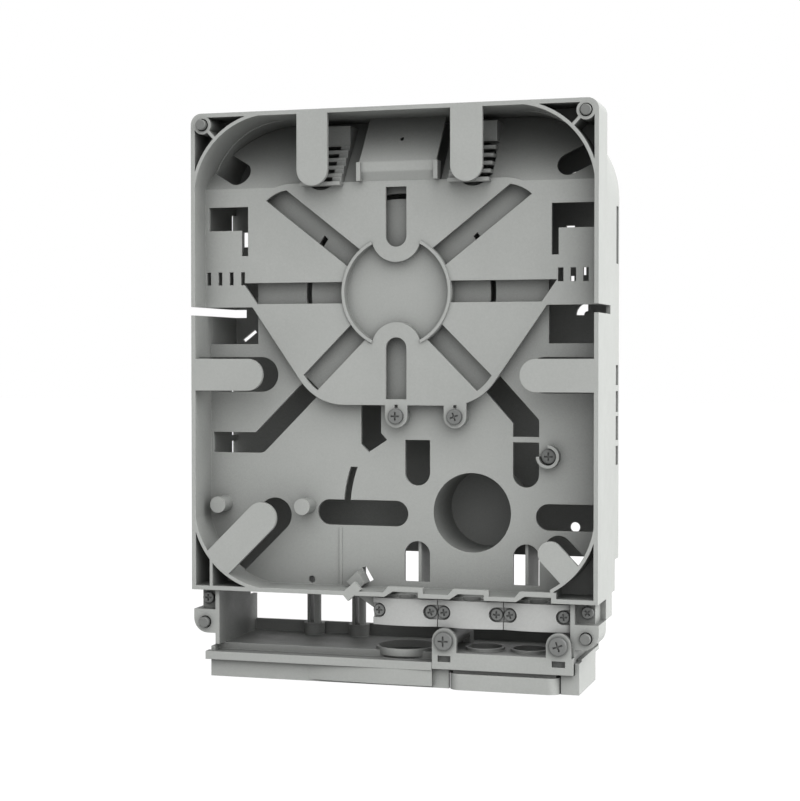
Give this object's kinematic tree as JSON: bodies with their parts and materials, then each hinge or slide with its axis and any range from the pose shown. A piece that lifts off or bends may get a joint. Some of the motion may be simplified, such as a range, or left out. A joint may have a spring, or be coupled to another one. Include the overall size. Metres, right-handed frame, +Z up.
{
  "type": "wall mount fibre splice box",
  "caption": "Open wall box with a splice cassette over a slotted lower tray, retaining fingers, clamped cable entries and a gland plate below",
  "frame": {"origin": "on the wall face, at the trays' mid height", "axes": "+X right, +Y into the wall, +Z up"},
  "size_m": [0.225, 0.066, 0.3075],
  "materials": {
    "housing_plastic": "fine moulded texture, matte",
    "clamp_plastic": "smooth, matte",
    "screw_grey": "dull grey coated steel"
  },
  "bodies": {
    "root": {"wall_housing": "housing_plastic", "upper_tray": "housing_plastic", "lower_tray": "housing_plastic", "entry_housing": "housing_plastic", "gland_plate": "housing_plastic", "clamp_saddle": "housing_plastic", "cable_clamp_left": "clamp_plastic", "cable_clamp_middle": "clamp_plastic", "cable_clamp_right": "clamp_plastic", "splice_comb_left": "housing_plastic", "splice_comb_right": "housing_plastic", "splice_ramp": "housing_plastic", "tie_pillar_left": "housing_plastic", "tie_pillar_right": "housing_plastic", "cover_post_upper_left": "housing_plastic", "cover_post_upper_right": "housing_plastic", "cover_post_lower_left": "housing_plastic", "cover_post_lower_right": "housing_plastic", "lug_screws": "screw_grey", "tray_screw": "screw_grey", "flange_screws": "screw_grey", "clamp_screws": "screw_grey", "gland_plate_screws": "screw_grey"}
  },
  "joints": []
}
